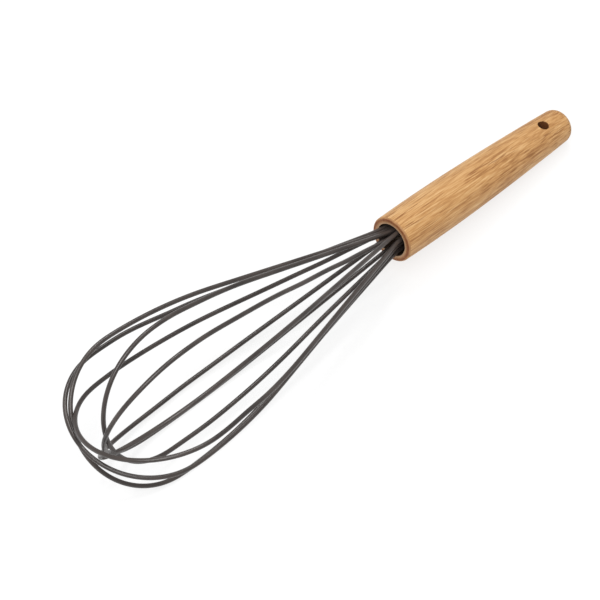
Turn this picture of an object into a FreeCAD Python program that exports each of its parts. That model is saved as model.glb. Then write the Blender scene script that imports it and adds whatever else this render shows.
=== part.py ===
import FreeCAD, Part
import math
import os

# Balloon whisk: a turned wooden handle, six nested loops of spring wire covered in
# silicone, and the cast plug that grips the wire ends inside the handle.
#
# The whisk is built along its own axis: X runs from the rear of the handle to the
# balloon tip, and x = 0 is the plane where the wires start to flare, just in front of
# the mouth. At the end every piece is turned into the resting pose: lying on a flat
# surface, +Z up, +X towards the balloon, origin at the middle of the footprint.

# ---- driving dimensions, mm ----

# wires
SLEEVE_R = 1.05           # outside radius of the silicone sleeve
CORE_R = 0.6              # radius of the spring wire
CORE_GAP = 0.02           # room between wire and sleeve
SLEEVE_START_X = -20.0    # where the sleeves end inside the handle
CORE_START_X = -24.0      # the bare wire ends go a little deeper
FLARE_X = -0.6            # corner where the straight root turns into the flare
FLARE_BEND_R = 12.0       # bend radius at that corner
ROOT_R = 5.48             # distance of each leg from the loop's middle line at x = 0
FLANK_RATIO = 6.90        # flank arc radius divided by the loop's half width

# one row per loop: angle of the loop's plane about the axis (deg), plane offset,
# sideways offset, lean out of the plane, lean in the plane, reach to the tip, half width
LOOPS = (
    (78.1, -1.15, 0.80, -0.125, 0.013, 179.1, 34.2),
    (110.3, 0.95, -1.15, -0.071, -0.020, 183.3, 34.2),
    (44.9, 0.35, 0.45, -0.022, -0.010, 175.2, 33.6),
    (138.0, 1.80, -0.10, -0.016, 0.022, 185.9, 35.7),
    (17.2, 0.75, 1.15, -0.005, -0.012, 177.4, 35.6),
    (-4.6, -1.55, -1.00, 0.050, -0.003, 181.0, 37.3),
)

# handle
MOUTH_X = -1.75
FACE_R = 10.35            # flat of the mouth face
MOUTH_ROUND = 1.05        # rounding of the mouth's outer edge
MOUTH_CHAMFER = 0.1       # small chamfer at the bore edge
BELLY_X = -30.0           # fullest part of the front half
BELLY_R = 11.61
WAIST_X = -57.0           # where the belly turns into the taper
WAIST_R = 11.18
TAPER_X = -88.75          # middle of the taper
TAPER_R = 10.11
REAR_X = -120.5           # where the rear rounding starts
REAR_R = 8.59
REAR_SLOPE = 0.055        # slope of the taper there, rad
REAR_ROUND = 5.0
REAR_DOME = 0.5           # height of the slight dome on the rear end
BORE_R = 8.3
BORE_END_X = -31.0
DRILL_POINT = 2.4         # depth of the cone left by the drill

# hang hole
HOLE_X = -107.95
HOLE_R = 2.8
HOLE_ANGLE = 205.9        # direction of the hole about the axis (deg)

# cast plug that holds the wires
PLUG_R = 8.28
PLUG_FRONT_X = -10.0
PLUG_REAR_X = -30.9
SOCKET_GAP = 0.02         # room round a sleeve or wire in the plug

# resting pose
REST_ROLL = -113.36       # turn about the whisk's axis (deg)
REST_TILT = 6.34          # rise of the axis towards the balloon (deg)

X_AXIS = FreeCAD.Vector(1, 0, 0)


def loop_frame(loop):
    """Origin, forward and sideways directions of a loop's plane."""
    angle, offset, shift, lean_out, lean_in = loop[:5]
    a = math.radians(angle)
    side = FreeCAD.Vector(0, math.cos(a), math.sin(a))
    normal = FreeCAD.Vector(0, -math.sin(a), math.cos(a))
    forward = FreeCAD.Vector(1, 0, 0) + normal * lean_out + side * lean_in
    forward.normalize()
    across = side - forward * side.dot(forward)
    across.normalize()
    origin = normal * offset + side * shift
    return origin, forward, across


def leg_numbers(loop):
    """Flare angle, flank radius and root radius of a loop."""
    reach, half_width = loop[5], loop[6]
    flank_r = FLANK_RATIO * half_width
    cx = reach - half_width
    cr = half_width - flank_r
    span = math.hypot(cx, cr - ROOT_R)
    flare = math.asin(flank_r / span) + math.atan2(cr - ROOT_R, cx)
    root = ROOT_R + FLARE_X * math.tan(flare)
    return flare, flank_r, root


def leg_points(loop, start_x):
    """Corner points of the leg in the loop's plane: (x, r) pairs."""
    reach, half_width = loop[5], loop[6]
    flare, flank_r, root = leg_numbers(loop)
    run = FLARE_BEND_R * math.tan(flare / 2)
    cx = reach - half_width
    cr = half_width - flank_r
    bend_start = (FLARE_X - run, root)
    half = flare / 2
    bend_mid = (
        bend_start[0] + FLARE_BEND_R * math.sin(half),
        root + FLARE_BEND_R * (1 - math.cos(half)),
    )
    bend_end = (
        bend_start[0] + FLARE_BEND_R * math.sin(flare),
        root + FLARE_BEND_R * (1 - math.cos(flare)),
    )
    flank_start = (cx - flank_r * math.sin(flare), cr + flank_r * math.cos(flare))
    flank_mid = (cx - flank_r * math.sin(half), cr + flank_r * math.cos(half))
    widest = (cx, half_width)
    tip = (reach, 0.0)
    return {
        "start": (start_x, root),
        "bend_start": bend_start,
        "bend_mid": bend_mid,
        "bend_end": bend_end,
        "flank_start": flank_start,
        "flank_mid": flank_mid,
        "widest": widest,
        "tip": tip,
    }


def loop_path(loop, start_x):
    """Wire through the whole loop, from one end inside the handle to the other."""
    origin, forward, across = loop_frame(loop)
    p = leg_points(loop, start_x)

    def at(name, sign):
        x, r = p[name]
        return origin + forward * x + across * (r * sign)

    def line(a, b):
        return Part.LineSegment(a, b).toShape()

    def arc(a, b, c):
        return Part.Arc(a, b, c).toShape()

    edges = [
        line(at("start", -1), at("bend_start", -1)),
        arc(at("bend_start", -1), at("bend_mid", -1), at("bend_end", -1)),
        line(at("bend_end", -1), at("flank_start", -1)),
        arc(at("flank_start", -1), at("flank_mid", -1), at("widest", -1)),
        arc(at("widest", -1), at("tip", 1), at("widest", 1)),
        arc(at("widest", 1), at("flank_mid", 1), at("flank_start", 1)),
        line(at("flank_start", 1), at("bend_end", 1)),
        arc(at("bend_end", 1), at("bend_mid", 1), at("bend_start", 1)),
        line(at("bend_start", 1), at("start", 1)),
    ]
    return Part.Wire(edges), at("start", -1), forward


def tube(loop, start_x, radius):
    """Round solid swept along the loop."""
    path, start, forward = loop_path(loop, start_x)
    ring = Part.Wire(Part.makeCircle(radius, start, forward))
    return path.makePipeShell([ring], True, False)


def handle_solid():
    """Turned handle with a blind bore and a cross-drilled hang hole."""
    v = FreeCAD.Vector
    k = math.sqrt(0.5)
    face_edge = v(MOUTH_X, FACE_R, 0)
    mouth_mid = v(MOUTH_X - MOUTH_ROUND * (1 - k), FACE_R + MOUTH_ROUND * k, 0)
    front = v(MOUTH_X - MOUTH_ROUND, FACE_R + MOUTH_ROUND, 0)
    belly = v(BELLY_X, BELLY_R, 0)
    waist = v(WAIST_X, WAIST_R, 0)
    taper = v(TAPER_X, TAPER_R, 0)
    rear = v(REAR_X, REAR_R, 0)
    cx = REAR_X + REAR_ROUND * math.sin(REAR_SLOPE)
    cr = REAR_R - REAR_ROUND * math.cos(REAR_SLOPE)
    rear_mid = v(cx - REAR_ROUND * k, cr + REAR_ROUND * k, 0)
    rear_edge = v(cx - REAR_ROUND, cr, 0)
    dome_r = (cr * cr + REAR_DOME * REAR_DOME) / (2 * REAR_DOME)
    dome_cx = rear_edge.x - REAR_DOME + dome_r
    dome_mid = v(dome_cx - math.sqrt(dome_r * dome_r - cr * cr / 4), cr / 2, 0)
    dome_top = v(rear_edge.x - REAR_DOME, 0, 0)
    cone_tip = v(BORE_END_X - DRILL_POINT, 0, 0)
    cone_edge = v(BORE_END_X, BORE_R, 0)
    bore_edge = v(MOUTH_X - MOUTH_CHAMFER, BORE_R, 0)
    chamfer_edge = v(MOUTH_X, BORE_R + MOUTH_CHAMFER, 0)
    edges = [
        Part.Arc(face_edge, mouth_mid, front).toShape(),
        Part.Arc(front, belly, waist).toShape(),
        Part.Arc(waist, taper, rear).toShape(),
        Part.Arc(rear, rear_mid, rear_edge).toShape(),
        Part.Arc(rear_edge, dome_mid, dome_top).toShape(),
        Part.LineSegment(dome_top, cone_tip).toShape(),
        Part.LineSegment(cone_tip, cone_edge).toShape(),
        Part.LineSegment(cone_edge, bore_edge).toShape(),
        Part.LineSegment(bore_edge, chamfer_edge).toShape(),
        Part.LineSegment(chamfer_edge, face_edge).toShape(),
    ]
    face = Part.Face(Part.Wire(edges))
    body = face.revolve(v(0, 0, 0), X_AXIS, 360)
    if body.ShapeType != "Solid":
        body = Part.Solid(body) if body.ShapeType == "Shell" else body.Solids[0]
    a = math.radians(HOLE_ANGLE)
    up = v(0, math.cos(a), math.sin(a))
    drill = Part.makeCylinder(HOLE_R, 40, v(HOLE_X, 0, 0) - up * 20, up)
    return body.cut(drill).Solids[0]


def plug_solid():
    """Cast plug with a stepped socket for every wire end."""
    v = FreeCAD.Vector
    plug = Part.makeCylinder(
        PLUG_R, PLUG_FRONT_X - PLUG_REAR_X, v(PLUG_REAR_X, 0, 0), X_AXIS
    )
    cutters = []
    for loop in LOOPS:
        origin, forward, across = loop_frame(loop)
        root = leg_numbers(loop)[2]
        for sign in (-1, 1):
            foot = origin + across * (root * sign)
            wide_start = foot + forward * (SLEEVE_START_X - SOCKET_GAP)
            thin_start = foot + forward * (CORE_START_X - SOCKET_GAP)
            wide_len = PLUG_FRONT_X - SLEEVE_START_X + 2
            thin_len = SLEEVE_START_X - CORE_START_X + 1
            wide_r = SLEEVE_R + SOCKET_GAP
            thin_r = CORE_R + SOCKET_GAP
            cutters.append(Part.makeCylinder(wide_r, wide_len, wide_start, forward))
            cutters.append(Part.makeCylinder(thin_r, thin_len, thin_start, forward))
    return plug.cut(cutters).Solids[0]


def all_pieces():
    pieces = {"handle": handle_solid(), "wire_holder": plug_solid()}
    for number, loop in enumerate(LOOPS, 1):
        outer = tube(loop, SLEEVE_START_X, SLEEVE_R)
        hollow = tube(loop, SLEEVE_START_X - 1, CORE_R + CORE_GAP)
        sleeve = outer.cut(hollow)
        core = tube(loop, CORE_START_X, CORE_R)
        pieces["sleeve_%d" % number] = sleeve.Solids[0]
        pieces["core_wire_%d" % number] = core.Solids[0] if core.Solids else core
    return pieces


def rest_pose(pieces):
    """Lay the whisk down: roll, tilt, then set it on z = 0 about the middle."""
    turn = FreeCAD.Rotation(X_AXIS, REST_ROLL)
    lift = FreeCAD.Rotation(FreeCAD.Vector(0, 1, 0), -REST_TILT)
    pose = FreeCAD.Placement(FreeCAD.Vector(0, 0, 0), lift.multiply(turn))
    laid = {}
    for name, shape in pieces.items():
        laid[name] = shape.transformed(pose.toMatrix(), True)
    box = Part.makeCompound(list(laid.values())).optimalBoundingBox(True, False)
    middle = FreeCAD.Vector((box.XMin + box.XMax) / 2, (box.YMin + box.YMax) / 2, box.ZMin)
    for shape in laid.values():
        shape.translate(middle * -1)
    return laid, middle


os.makedirs("parts", exist_ok=True)
parts, moved = rest_pose(all_pieces())
for name, shape in parts.items():
    shape.exportStep("parts/%s.step" % name)
    print(name, shape.ShapeType, shape.isValid(), round(shape.Volume, 2))
print("shift", [round(c, 4) for c in (moved.x, moved.y, moved.z)])
for number, loop in enumerate(LOOPS, 1):
    flare, flank_r, root = leg_numbers(loop)
    print("loop", number, "flare deg", round(math.degrees(flare), 2), "flank r", round(flank_r, 1))
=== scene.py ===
import math

import bmesh
import bpy
from mathutils import Matrix, Vector, noise


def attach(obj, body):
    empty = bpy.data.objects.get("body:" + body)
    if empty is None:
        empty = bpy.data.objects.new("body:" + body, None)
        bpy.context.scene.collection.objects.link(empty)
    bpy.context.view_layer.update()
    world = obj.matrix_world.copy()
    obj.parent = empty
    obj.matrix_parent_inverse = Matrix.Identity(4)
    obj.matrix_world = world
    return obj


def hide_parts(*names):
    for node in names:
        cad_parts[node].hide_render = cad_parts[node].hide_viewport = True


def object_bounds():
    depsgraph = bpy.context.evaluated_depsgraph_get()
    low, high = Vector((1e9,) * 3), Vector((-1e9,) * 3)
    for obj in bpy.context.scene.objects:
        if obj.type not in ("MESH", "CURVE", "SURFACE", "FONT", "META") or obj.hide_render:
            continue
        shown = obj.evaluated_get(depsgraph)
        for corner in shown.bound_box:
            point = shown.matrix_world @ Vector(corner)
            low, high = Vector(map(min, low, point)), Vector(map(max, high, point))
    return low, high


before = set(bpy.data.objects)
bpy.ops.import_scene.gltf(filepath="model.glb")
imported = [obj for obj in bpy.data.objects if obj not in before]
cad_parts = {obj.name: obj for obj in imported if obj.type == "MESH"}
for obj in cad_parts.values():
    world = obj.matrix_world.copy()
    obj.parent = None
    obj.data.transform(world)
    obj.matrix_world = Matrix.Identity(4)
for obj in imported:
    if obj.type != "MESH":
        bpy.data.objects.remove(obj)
cad_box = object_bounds()

MM = 0.001

# ---------------------------------------------------------------- the whisk's own frame
# X runs along the whisk from the rear of the handle to the balloon tip. The whisk lies
# down: rolled about that axis, tipped up towards the balloon.
REST_ROLL = -113.36
REST_TILT = 6.34
ROOT_SHIFT = Vector((-30.3624, 1.5848, 21.8518)) * MM
TURN = (
    Matrix.Rotation(math.radians(-REST_TILT), 4, "Y")
    @ Matrix.Rotation(math.radians(REST_ROLL), 4, "X")
)
WHISK = Matrix.Translation(ROOT_SHIFT) @ TURN

# ---------------------------------------------------------------- sizes, mm
# loops: plane angle (deg), plane offset, side offset, lean out, lean in, reach, half width
LOOPS = (
    (78.1, -1.15, 0.80, -0.125, 0.013, 179.1, 34.2),
    (110.3, 0.95, -1.15, -0.071, -0.020, 183.3, 34.2),
    (44.9, 0.35, 0.45, -0.022, -0.010, 175.2, 33.6),
    (138.0, 1.80, -0.10, -0.016, 0.022, 185.9, 35.7),
    (17.2, 0.75, 1.15, -0.005, -0.012, 177.4, 35.6),
    (-4.6, -1.55, -1.00, 0.050, -0.003, 181.0, 37.3),
)
# slight bends left by use, for a loop's leg (-1 or 1):
# (place along the whisk, half length, sideways in the plane, out of the plane)
BENDS = {
    (2, -1): ((108, 10, 0.55, 0.0), (132, 9, -0.4, 0.0)),
    (3, -1): ((132, 9, -0.6, 0.0), (155, 7, 0.2, 0.0)),
    (3, 1): ((74, 22, 0.0, 0.8), (134, 10, 0.0, -0.4)),
    (4, -1): ((30, 9, 0.0, -0.3), (88, 24, 0.0, 0.5), (152, 9, 0.0, -0.5)),
    (4, 1): ((131, 8, -0.6, 0.0),),
    (5, -1): ((36, 7, 0.0, 0.3), (68, 12, 0.0, 0.35), (130, 14, 0.0, -0.5), (166, 7, 0.0, 0.2)),
    (6, 1): ((112, 10, 0.0, -0.2),),
}
SLEEVE_R = 1.05
SLEEVE_START_X = -20.0
SLEEVE_SIDES = 20
CORE_R = 0.6
CORE_START_X = -24.0
CORE_SIDES = 12
FLARE_X = -0.6
FLARE_BEND_R = 12.0
ROOT_R = 5.48
FLANK_RATIO = 6.90
PATH_STEP = 1.0
EASING_PASSES = 30        # how often the joins between runs and arcs are eased
LOOP_EDGE_ANGLE = 50      # edges sharper than this stay crisp (deg)

# handle: lengths along the axis, radii
MOUTH_X = -1.75
FACE_R = 10.35
MOUTH_ROUND = 1.05
BORE_EDGE_X = -1.85
BORE_EDGE = ((-1.80, 8.338), (-1.79, 8.385))
BORE_EDGE_R = 8.43        # where the mouth's flat face starts
BELLY = (-30.0, 11.61)
WAIST = (-57.0, 11.18)
TAPER = (-88.75, 10.11)
REAR_X = -120.5
REAR_R = 8.59
REAR_SLOPE = 0.055
REAR_ROUND = 5.0
REAR_DOME = 0.5
BORE_R = 8.3
BORE_END_X = -31.0
DRILL_POINT = 2.4
HOLE_X = -107.95
HOLE_R = 2.8
HOLE_ANGLE = 205.9
DRILL_LENGTH = 40
DRILL_SIDES = 96
HANDLE_SIDES = 240
HANDLE_WOBBLE = 0.06      # how far hand sanding takes the surface in
HANDLE_EDGE_ANGLE = 32


# ---------------------------------------------------------------- small helpers
def new_object(name, mesh, matrix):
    """An object at the origin, with its place in its vertices."""
    mesh.transform(matrix)
    obj = bpy.data.objects.new(name, mesh)
    bpy.context.scene.collection.objects.link(obj)
    bpy.context.view_layer.update()
    return obj


def mesh_from(bm, name):
    mesh = bpy.data.meshes.new(name)
    bm.to_mesh(mesh)
    bm.free()
    return mesh


def smooth(mesh, angle):
    """Smooth shading, with edges sharper than the angle kept crisp."""
    for p in mesh.polygons:
        p.use_smooth = True
    bm = bmesh.new()
    bm.from_mesh(mesh)
    limit = math.radians(angle)
    for e in bm.edges:
        if len(e.link_faces) == 2 and e.calc_face_angle(0.0) > limit:
            e.smooth = False
    bm.to_mesh(mesh)
    bm.free()


# ---------------------------------------------------------------- materials
class Nodes:
    """A short way to write a material's node tree."""

    def __init__(self, name):
        self.mat = bpy.data.materials.new(name)
        self.mat.use_nodes = True
        self.tree = self.mat.node_tree
        self.bsdf = self.tree.nodes["Principled BSDF"]
        self.own = None

    def link(self, out, into):
        self.tree.links.new(out, into)

    def put(self, kind):
        return self.tree.nodes.new("ShaderNode" + kind)

    def feed(self, socket, value):
        if isinstance(value, bpy.types.NodeSocket):
            self.link(value, socket)
        else:
            socket.default_value = value

    def shade(self, **inputs):
        """Sets the shader's sockets; an underscore in a name stands for a space."""
        for name, value in inputs.items():
            self.feed(self.bsdf.inputs[name.replace("_", " ")], value)

    def whisk(self):
        """The whisk's own frame: X along the handle, in metres."""
        if self.own is None:
            tc = self.put("TexCoord")
            mp = self.put("Mapping")
            self.link(tc.outputs["Object"], mp.inputs["Vector"])
            inverse = WHISK.inverted()
            mp.inputs["Rotation"].default_value = inverse.to_euler("XYZ")
            mp.inputs["Location"].default_value = inverse.to_translation()
            self.own = mp.outputs["Vector"]
        return self.own

    def noise(self, frequency, shift=(0, 0, 0), lean=(0, 0, 0), detail=2.0, rough=0.5, warp=0.0):
        """Noise in the whisk's own frame; the frequency is per metre along X, Y and Z."""
        mp = self.put("Mapping")
        self.link(self.whisk(), mp.inputs["Vector"])
        mp.inputs["Scale"].default_value = frequency
        mp.inputs["Rotation"].default_value = lean
        mp.inputs["Location"].default_value = shift
        n = self.put("TexNoise")
        self.link(mp.outputs["Vector"], n.inputs["Vector"])
        n.inputs["Scale"].default_value = 1.0
        n.inputs["Detail"].default_value = detail
        n.inputs["Roughness"].default_value = rough
        n.inputs["Distortion"].default_value = warp
        return n.outputs["Fac"]

    def math(self, op, a, b=0.0, clamp=False):
        n = self.put("Math")
        n.operation = op
        n.use_clamp = clamp
        self.feed(n.inputs[0], a)
        self.feed(n.inputs[1], b)
        return n.outputs[0]

    def weighted(self, *terms):
        """Sum of (value, weight) pairs."""
        total = self.math("MULTIPLY", *terms[0])
        for value, weight in terms[1:]:
            total = self.math("ADD", total, self.math("MULTIPLY", value, weight))
        return total

    def span(self, value, lo, hi, out_lo=0.0, out_hi=1.0):
        n = self.put("MapRange")
        n.clamp = True
        n.interpolation_type = "SMOOTHSTEP"
        self.feed(n.inputs["Value"], value)
        n.inputs["From Min"].default_value = lo
        n.inputs["From Max"].default_value = hi
        n.inputs["To Min"].default_value = out_lo
        n.inputs["To Max"].default_value = out_hi
        return n.outputs["Result"]

    def ramp(self, value, stops):
        n = self.put("ValToRGB")
        self.link(value, n.inputs["Fac"])
        e = n.color_ramp.elements
        while len(e) < len(stops):
            e.new(0.5)
        for el, (pos, col) in zip(e, stops):
            el.position = pos
            el.color = (*col, 1)
        return n.outputs["Color"]

    def mix(self, fac, a, b):
        """Colour a turning into colour b."""
        n = self.put("Mix")
        n.data_type = "RGBA"
        self.feed(n.inputs["Factor"], fac)
        for letter, colour in (("A", a), ("B", b)):
            socket = [s for s in n.inputs if s.name == letter and s.type == "RGBA"][0]
            self.feed(socket, colour if isinstance(colour, bpy.types.NodeSocket) else (*colour, 1))
        return [s for s in n.outputs if s.type == "RGBA"][0]

    def bump(self, height, distance, strength):
        n = self.put("Bump")
        self.link(height, n.inputs["Height"])
        n.inputs["Distance"].default_value = distance
        n.inputs["Strength"].default_value = strength
        return n.outputs["Normal"]

    def radius(self):
        """Distance from the whisk's axis, and the place along it, in metres."""
        sep = self.put("SeparateXYZ")
        self.link(self.whisk(), sep.inputs[0])
        yy = self.math("MULTIPLY", sep.outputs["Y"], sep.outputs["Y"])
        zz = self.math("MULTIPLY", sep.outputs["Z"], sep.outputs["Z"])
        r = self.math("SQRT", self.math("ADD", yy, zz))
        return r, sep.outputs["X"]


GRAIN_LEAN = (0.0, 0.016, 0.022)    # the grain runs a little off the handle's axis
WOOD_TONES = (
    (0.40, (0.280, 0.120, 0.034)),
    (0.470, (0.440, 0.222, 0.076)),
    (0.525, (0.530, 0.295, 0.114)),
    (0.60, (0.640, 0.405, 0.190)),
)
WARM_PATCH = (0.46, 0.222, 0.070)
PORE = (0.225, 0.088, 0.025)
# across the mouth's end face, from the bore's edge out
MOUTH_RINGS = (
    (0.00, (0.440, 0.285, 0.175)),
    (0.16, (0.400, 0.225, 0.115)),
    (0.32, (0.310, 0.130, 0.045)),
    (0.50, (0.240, 0.085, 0.026)),
    (0.62, (0.185, 0.052, 0.013)),
    (0.84, (0.185, 0.052, 0.013)),
    (0.97, (0.380, 0.195, 0.076)),
)
RING_DARK = (0.16, 0.06, 0.02)
RING_PALE = (0.42, 0.22, 0.09)
# painted shade: the colour that darkens the bore's walls, standing in for shade deep in the bore
BORE_PAINTED_SHADE = (0.040, 0.022, 0.012)
# painted shade: the colour that darkens the hang hole's walls
HOLE_PAINTED_SHADE = (0.155, 0.055, 0.016)


def mouth_and_holes(m, colour):
    """The end face at the mouth, with painted shade darkening the bore and the hang hole."""
    r, x = m.radius()
    uneven = m.noise((300, 300, 300), detail=3, rough=0.6)
    edge = m.math("MULTIPLY", m.math("SUBTRACT", uneven, 0.5), 0.5 * MM)
    rings = m.ramp(
        m.span(m.math("ADD", r, edge), BORE_R * MM, (FACE_R + MOUTH_ROUND) * MM), MOUTH_RINGS
    )
    rings = m.mix(0.25, rings, m.mix(m.span(uneven, 0.35, 0.65), RING_DARK, RING_PALE))
    colour = m.mix(m.span(x, -2.78 * MM, -2.40 * MM), colour, rings)
    # painted shade on the bore's walls, deeper than the mouth
    inside = m.math("MULTIPLY", m.span(r, 8.75 * MM, 8.45 * MM), m.span(x, -60 * MM, -50 * MM))
    bore = m.math("MULTIPLY", inside, m.span(x, -1.9 * MM, -2.5 * MM))
    colour = m.mix(bore, colour, BORE_PAINTED_SHADE)
    # painted shade inside the hang hole
    near = m.math("ABSOLUTE", m.math("ADD", x, -HOLE_X * MM))
    hole = m.math("MULTIPLY", m.span(near, 3.4 * MM, 2.95 * MM), m.span(r, 9.0 * MM, 8.7 * MM))
    return m.mix(hole, colour, HOLE_PAINTED_SHADE)


def wood():
    m = Nodes("turned_wood")

    def grain(frequency, shift=(0, 0, 0), **look):
        return m.noise(frequency, shift, GRAIN_LEAN, **look)

    # broad tone bands, medium streaks, fibre lines and the finest lines
    broad = grain((9, 95, 95), (0.3, 0.2, 0.7), detail=3, rough=0.55, warp=0.3)
    streak = grain((26, 420, 420), (0.5, 0.3, 0.1), detail=3, rough=0.6)
    fibre = grain((52, 1350, 1350), detail=3, rough=0.7)
    fine = grain((130, 2900, 2900), (0.1, 0.4, 0.9), detail=2, rough=0.6)
    tone = m.weighted((broad, 0.17), (streak, 0.14), (fibre, 0.42), (fine, 0.27))
    colour = m.ramp(tone, WOOD_TONES)
    # warmer patches
    patch = grain((22, 110, 110), (0.6, 0.1, 0.2), detail=2)
    colour = m.mix(m.span(patch, 0.50, 0.68, 0.0, 0.20), colour, WARM_PATCH)
    # open pores: short dark dashes, in rows
    dash = grain((60, 1900, 1900), (0.7, 0.3, 0.1), detail=1.5, rough=0.45)
    rows = grain((18, 260, 260), (0.2, 0.8, 0.5), detail=2)
    pore = m.math("MULTIPLY", m.span(dash, 0.54, 0.63), m.span(rows, 0.40, 0.58), clamp=True)
    colour = m.mix(m.math("MULTIPLY", pore, 0.72), colour, PORE)
    rough = m.weighted((fibre, 0.20), (pore, 0.25))
    height = m.math("SUBTRACT", m.weighted((fibre, 0.55), (fine, 0.35)), m.math("MULTIPLY", pore, 0.9))
    m.shade(
        Base_Color=mouth_and_holes(m, colour),
        Roughness=m.math("ADD", rough, 0.46),
        Specular_IOR_Level=0.35,
        Normal=m.bump(height, 0.10 * MM, 0.5),
    )
    return m.mat


def silicone():
    m = Nodes("dark_silicone")
    cloud = m.noise((60, 60, 60), detail=3, rough=0.55)
    speck = m.noise((2600, 2600, 2600), detail=2, rough=0.6)
    dust = m.noise((700, 700, 700), (0.4, 0.1, 0.3), detail=4, rough=0.7)
    tones = ((0.34, (0.023, 0.0172, 0.0150)), (0.66, (0.051, 0.0395, 0.0345)))
    colour = m.ramp(cloud, tones)
    m.shade(
        Base_Color=m.mix(m.span(dust, 0.60, 0.80, 0.0, 0.06), colour, (0.16, 0.145, 0.14)),
        Roughness=m.math("ADD", m.math("MULTIPLY", cloud, 0.12), 0.27),
        Specular_IOR_Level=0.55,
        Normal=m.bump(m.weighted((speck, 0.4), (dust, 0.6)), 0.03 * MM, 0.5),
    )
    return m.mat


def steel():
    m = Nodes("spring_steel")
    grain = m.noise((900, 900, 900), detail=4, rough=0.6)
    m.shade(
        Base_Color=m.ramp(grain, ((0.3, (0.42, 0.42, 0.43)), (0.7, (0.60, 0.60, 0.61)))),
        Metallic=1.0,
        Roughness=m.span(grain, 0.3, 0.7, 0.22, 0.40),
        Normal=m.bump(grain, 0.02 * MM, 0.4),
    )
    return m.mat


def resin():
    m = Nodes("cast_resin")
    swirl = m.noise((260, 260, 260), detail=4, rough=0.6, warp=0.8)
    m.shade(
        Base_Color=m.ramp(swirl, ((0.3, (0.045, 0.030, 0.020)), (0.7, (0.100, 0.070, 0.045)))),
        Roughness=m.span(swirl, 0.3, 0.7, 0.25, 0.5),
        Normal=m.bump(swirl, 0.3 * MM, 0.5),
    )
    return m.mat


def floor_material():
    """A pale table lit from below, so that shadows on it stay faint."""
    m = Nodes("pale_floor")
    tone = m.noise((6, 6, 6), detail=2)
    m.shade(
        Base_Color=m.ramp(tone, ((0.3, (0.235, 0.235, 0.235)), (0.7, (0.245, 0.245, 0.245)))),
        Roughness=0.9,
        Specular_IOR_Level=0.1,
        Emission_Color=(1.0, 1.0, 1.0, 1),
        Emission_Strength=0.74,
    )
    return m.mat


WOOD, SILICONE, STEEL, RESIN = wood(), silicone(), steel(), resin()


# ---------------------------------------------------------------- handle
def arc_points(a, b, c, count):
    """Points on the circle through a, b and c, from a to c, each an (x, r) pair."""
    (ax, ay), (bx, by), (cx, cy) = a, b, c
    d = 2 * (ax * (by - cy) + bx * (cy - ay) + cx * (ay - by))
    sa, sb, sc = ax * ax + ay * ay, bx * bx + by * by, cx * cx + cy * cy
    ux = (sa * (by - cy) + sb * (cy - ay) + sc * (ay - by)) / d
    uy = (sa * (cx - bx) + sb * (ax - cx) + sc * (bx - ax)) / d
    rad = math.hypot(ax - ux, ay - uy)
    start = math.atan2(ay - uy, ax - ux)
    end = math.atan2(cy - uy, cx - ux)
    turn = (end - start + math.pi) % (2 * math.pi) - math.pi
    return [
        (
            ux + rad * math.cos(start + turn * i / count),
            uy + rad * math.sin(start + turn * i / count),
        )
        for i in range(count + 1)
    ]


def line_points(a, b, count):
    """Points from a to b without a itself, each an (x, r) pair."""
    (ax, ay), (bx, by) = a, b
    return [(ax + (bx - ax) * i / count, ay + (by - ay) * i / count) for i in range(1, count + 1)]


def handle_profile():
    """The turned outline, from the drill point out of the bore and round to the rear."""
    k = math.sqrt(0.5)
    drill_tip = (BORE_END_X - DRILL_POINT, 0.0)
    bore_end = (BORE_END_X, BORE_R)
    face = (MOUTH_X, FACE_R)
    mid = (MOUTH_X - MOUTH_ROUND * (1 - k), FACE_R + MOUTH_ROUND * k)
    front = (MOUTH_X - MOUTH_ROUND, FACE_R + MOUTH_ROUND)
    rear = (REAR_X, REAR_R)
    cx = REAR_X + REAR_ROUND * math.sin(REAR_SLOPE)
    cr = REAR_R - REAR_ROUND * math.cos(REAR_SLOPE)
    rear_mid = (cx - REAR_ROUND * k, cr + REAR_ROUND * k)
    rear_edge = (cx - REAR_ROUND, cr)
    dome_r = (cr * cr + REAR_DOME * REAR_DOME) / (2 * REAR_DOME)
    dome_cx = rear_edge[0] - REAR_DOME + dome_r
    dome_mid = (dome_cx - math.sqrt(dome_r**2 - cr * cr / 4), cr / 2)
    dome_top = (rear_edge[0] - REAR_DOME, 0.0)
    return [
        drill_tip,
        *line_points(drill_tip, bore_end, 4),
        *line_points(bore_end, (BORE_EDGE_X, BORE_R), 14),
        *BORE_EDGE,
        (MOUTH_X, BORE_EDGE_R),
        *line_points((MOUTH_X, BORE_EDGE_R), face, 6),
        *arc_points(face, mid, front, 8)[1:],
        *arc_points(front, BELLY, WAIST, 60)[1:],
        *arc_points(WAIST, TAPER, rear, 78)[1:],
        *arc_points(rear, rear_mid, rear_edge, 16)[1:],
        *arc_points(rear_edge, dome_mid, dome_top, 8)[1:],
    ]


def lathe(profile, sides, wobble):
    """The profile turned about X; outside the bore it is a little uneven."""
    bm = bmesh.new()
    rings = []
    for x, r in profile:
        if r < 1e-6:
            rings.append([bm.verts.new((x * MM, 0, 0))])
            continue
        ring = []
        for i in range(sides):
            a = 2 * math.pi * i / sides
            c, s = math.cos(a), math.sin(a)
            rr = r
            if r > BORE_R + 1:
                n = noise.noise(Vector((x * 0.045, c * 0.9, s * 0.9)))
                rr = r - wobble * (0.5 + 0.5 * n)
            ring.append(bm.verts.new((x * MM, rr * c * MM, rr * s * MM)))
        rings.append(ring)
    for a, b in zip(rings, rings[1:]):
        for i in range(sides):
            j = (i + 1) % sides
            if len(a) == 1:
                bm.faces.new((a[0], b[j], b[i]))
            elif len(b) == 1:
                bm.faces.new((a[i], a[j], b[0]))
            else:
                bm.faces.new((a[i], a[j], b[j], b[i]))
    bmesh.ops.recalc_face_normals(bm, faces=bm.faces)
    return mesh_from(bm, "turned")


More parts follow.
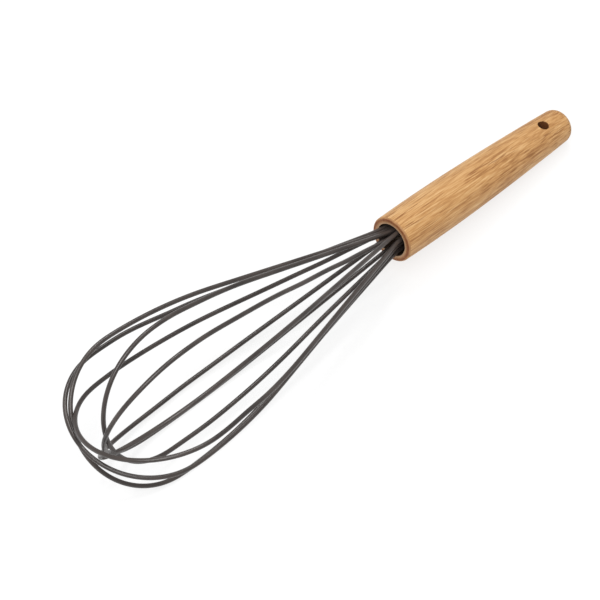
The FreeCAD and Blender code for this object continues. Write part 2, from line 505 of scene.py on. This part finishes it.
def make_drill():
    """The cylinder that cuts the hang hole."""
    bm = bmesh.new()
    r = HOLE_R * MM
    bmesh.ops.create_cone(
        bm, cap_ends=True, segments=DRILL_SIDES, radius1=r, radius2=r, depth=DRILL_LENGTH * MM
    )
    a = math.radians(HOLE_ANGLE)
    turn = Vector((0, math.cos(a), math.sin(a))).to_track_quat("Z", "X").to_matrix().to_4x4()
    place = Matrix.Translation(Vector((HOLE_X * MM, 0, 0)))
    return new_object("drill", mesh_from(bm, "drill"), WHISK @ place @ turn)


def make_handle():
    turned = lathe(handle_profile(), HANDLE_SIDES, HANDLE_WOBBLE)
    body = new_object("handle_body", turned, WHISK)
    drill = make_drill()
    mod = body.modifiers.new("hole", "BOOLEAN")
    mod.operation = "DIFFERENCE"
    mod.object = drill
    mod.solver = "EXACT"
    dg = bpy.context.evaluated_depsgraph_get()
    mesh = bpy.data.meshes.new_from_object(body.evaluated_get(dg))
    body.modifiers.clear()
    body.data = mesh
    bpy.data.meshes.remove(turned)
    bpy.data.objects.remove(drill)
    smooth(mesh, HANDLE_EDGE_ANGLE)
    mesh.materials.clear()
    mesh.materials.append(WOOD)
    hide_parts("handle")
    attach(body, "root")


# ---------------------------------------------------------------- loops
def plane_axes(loop):
    """Sideways and normal directions of a loop's plane, before it leans."""
    a = math.radians(loop[0])
    return Vector((0, math.cos(a), math.sin(a))), Vector((0, -math.sin(a), math.cos(a)))


def loop_frame(loop):
    """Origin, forward and sideways directions of a loop's plane."""
    offset, shift, lean_out, lean_in = loop[1:5]
    side, normal = plane_axes(loop)
    forward = (Vector((1, 0, 0)) + normal * lean_out + side * lean_in).normalized()
    across = (side - forward * side.dot(forward)).normalized()
    return normal * offset + side * shift, forward, across


def leg_path(loop, start_x, step):
    """The leg from its end in the handle to the tip, as (x, r) pairs at even steps."""
    reach, half = loop[5], loop[6]
    flank = FLANK_RATIO * half
    cx, cr = reach - half, half - flank
    flare = math.asin(flank / math.hypot(cx, cr - ROOT_R)) + math.atan2(cr - ROOT_R, cx)
    root = ROOT_R + FLARE_X * math.tan(flare)
    bend_x = FLARE_X - FLARE_BEND_R * math.tan(flare / 2)
    start = (start_x, root)
    bend_start = (bend_x, root)
    bend_end = (
        bend_x + FLARE_BEND_R * math.sin(flare),
        root + FLARE_BEND_R * (1 - math.cos(flare)),
    )
    flank_start = (cx - flank * math.sin(flare), cr + flank * math.cos(flare))
    up = math.pi / 2

    def line(a, b):
        length = math.hypot(b[0] - a[0], b[1] - a[1])
        return line_points(a, b, max(1, round(length / step)))

    def arc(ox, oy, rad, a0, a1):
        n = max(2, round(abs(a1 - a0) * rad / step))
        angles = [a0 + (a1 - a0) * i / n for i in range(1, n + 1)]
        return [(ox + rad * math.cos(a), oy + rad * math.sin(a)) for a in angles]

    return [
        start,
        *line(start, bend_start),
        *arc(bend_x, root + FLARE_BEND_R, FLARE_BEND_R, -up, -up + flare),
        *line(bend_end, flank_start),
        *arc(cx, cr, flank, up + flare, up),
        *arc(cx, 0.0, half, up, 0.0),
    ]


def bend_shift(number, sign, loop, x):
    """How far a leg is pushed aside at x, by the bends it has picked up."""
    side, normal = plane_axes(loop)
    shift = Vector((0, 0, 0))
    for place, reach, aside, out in BENDS.get((number, sign), ()):
        shift += (side * aside + normal * out) * math.exp(-(((x - place) / reach) ** 2))
    return shift


def loop_points(number, loop, start_x):
    """The middle line of a whole loop, from one end in the handle to the other."""
    origin, forward, across = loop_frame(loop)
    leg = leg_path(loop, start_x, PATH_STEP)
    whole = [(x, r, -1) for x, r in leg] + [(x, r, 1) for x, r in reversed(leg[:-1])]
    pts = [
        origin + forward * x + across * (r * sign) + bend_shift(number, sign, loop, x)
        for x, r, sign in whole
    ]
    # ease the joins between straight runs and arcs, as a bent wire does
    for _ in range(EASING_PASSES):
        pts = (
            [pts[0]]
            + [pts[i] * 0.5 + (pts[i - 1] + pts[i + 1]) * 0.25 for i in range(1, len(pts) - 1)]
            + [pts[-1]]
        )
    return pts


def sweep(points, radius, sides, seed):
    """Tube along points with a frame that doesn't twist, and a hand-dipped thickness."""
    bm = bmesh.new()
    tangent = (points[1] - points[0]).normalized()
    across = tangent.orthogonal().normalized()
    rings = []
    for i, p in enumerate(points):
        a, b = points[max(i - 1, 0)], points[min(i + 1, len(points) - 1)]
        t = (b - a).normalized()
        across = (across - t * across.dot(t)).normalized()
        other = t.cross(across)
        n = noise.noise(Vector((i * 0.03, seed * 7.3, 0.5)))
        r = radius * (0.996 + 0.004 * n)
        ring = []
        for k in range(sides):
            q = 2 * math.pi * k / sides
            ring.append(bm.verts.new((p + (across * math.cos(q) + other * math.sin(q)) * r) * MM))
        rings.append(ring)
    for a, b in zip(rings, rings[1:]):
        for k in range(sides):
            j = (k + 1) % sides
            bm.faces.new((a[k], a[j], b[j], b[k]))
    bm.faces.new(list(reversed(rings[0])))
    bm.faces.new(rings[-1])
    bmesh.ops.recalc_face_normals(bm, faces=bm.faces)
    return mesh_from(bm, "tube")


def make_tube(name, points, radius, sides, seed, material):
    mesh = sweep(points, radius, sides, seed)
    smooth(mesh, LOOP_EDGE_ANGLE)
    obj = new_object(name, mesh, WHISK)
    mesh.materials.append(material)
    return obj


def make_core(number, loop):
    points = loop_points(number, loop, CORE_START_X)
    obj = make_tube("steel_loop_%d" % number, points, CORE_R, CORE_SIDES, number, STEEL)
    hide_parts("core_wire_%d" % number)
    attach(obj, "root")


def make_sleeve(number, loop):
    points = loop_points(number, loop, SLEEVE_START_X)
    obj = make_tube("silicone_loop_%d" % number, points, SLEEVE_R, SLEEVE_SIDES, number, SILICONE)
    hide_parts("sleeve_%d" % number)
    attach(obj, "root")


make_handle()
for number, loop in enumerate(LOOPS, 1):
    make_core(number, loop)
    make_sleeve(number, loop)

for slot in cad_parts["wire_holder"].material_slots:
    slot.material = RESIN


# ---------------------------------------------------------------- floor, light, camera
FLOOR_HALF_SIZE = 12.0
FLOOR_GAP = 0.02 * MM       # keeps the floor clear of the wires that lie on it
WORLD_STRENGTH = 0.66
VIEW_AZIMUTH = math.radians(125.23)
VIEW_ELEVATION = math.radians(55.12)
VIEW_ROLL = math.radians(11.92)
VIEW_DISTANCE = 1.1722
VIEW_RIGHT = -0.01970
VIEW_UP = -0.01987
LENS = 157.72
SENSOR_WIDTH = 36.0
CLIP = (0.05, 20.0)

lo, hi = cad_box
centre = (lo + hi) / 2


def make_floor():
    bm = bmesh.new()
    bmesh.ops.create_grid(bm, x_segments=8, y_segments=8, size=FLOOR_HALF_SIZE)
    mesh = mesh_from(bm, "floor")
    mesh.materials.append(floor_material())
    new_object("floor", mesh, Matrix.Translation((0, 0, lo.z - FLOOR_GAP)))


def make_world():
    world = bpy.context.scene.world or bpy.data.worlds.new("studio")
    bpy.context.scene.world = world
    world.use_nodes = True
    background = world.node_tree.nodes["Background"]
    background.inputs["Color"].default_value = (1.0, 1.0, 1.0, 1)
    background.inputs["Strength"].default_value = WORLD_STRENGTH


def softbox(name, position, size, power):
    """A square white light, placed from the whisk's middle and aimed at it."""
    light = bpy.data.lights.new(name, "AREA")
    light.shape = "RECTANGLE"
    light.size = size
    light.size_y = size
    light.energy = power
    obj = bpy.data.objects.new(name, light)
    bpy.context.scene.collection.objects.link(obj)
    obj.location = centre + Vector(position)
    obj.rotation_mode = "QUATERNION"
    obj.rotation_quaternion = (-Vector(position)).to_track_quat("-Z", "Y")


def make_camera():
    data = bpy.data.cameras.new("camera")
    data.lens = LENS
    data.sensor_width = SENSOR_WIDTH
    data.clip_start, data.clip_end = CLIP
    camera = bpy.data.objects.new("camera", data)
    bpy.context.scene.collection.objects.link(camera)
    back = Vector(
        (
            math.sin(VIEW_AZIMUTH) * math.cos(VIEW_ELEVATION),
            -math.cos(VIEW_AZIMUTH) * math.cos(VIEW_ELEVATION),
            math.sin(VIEW_ELEVATION),
        )
    )
    level_right = Vector((0, 0, 1)).cross(back).normalized()
    level_up = back.cross(level_right)
    right = level_right * math.cos(VIEW_ROLL) + level_up * math.sin(VIEW_ROLL)
    up = back.cross(right)
    turn = Matrix((right, up, back)).transposed().to_4x4()
    place = centre + back * VIEW_DISTANCE + right * VIEW_RIGHT + up * VIEW_UP
    camera.matrix_world = Matrix.Translation(place) @ turn
    bpy.context.scene.camera = camera


make_floor()
make_world()
softbox("key", (0.67, 0.15, 1.27), 0.9, 14)
softbox("top", (-0.32, -0.53, 1.25), 0.36, 6)
make_camera()
bpy.context.scene.view_settings.view_transform = "Standard"

bpy.context.view_layer.update()
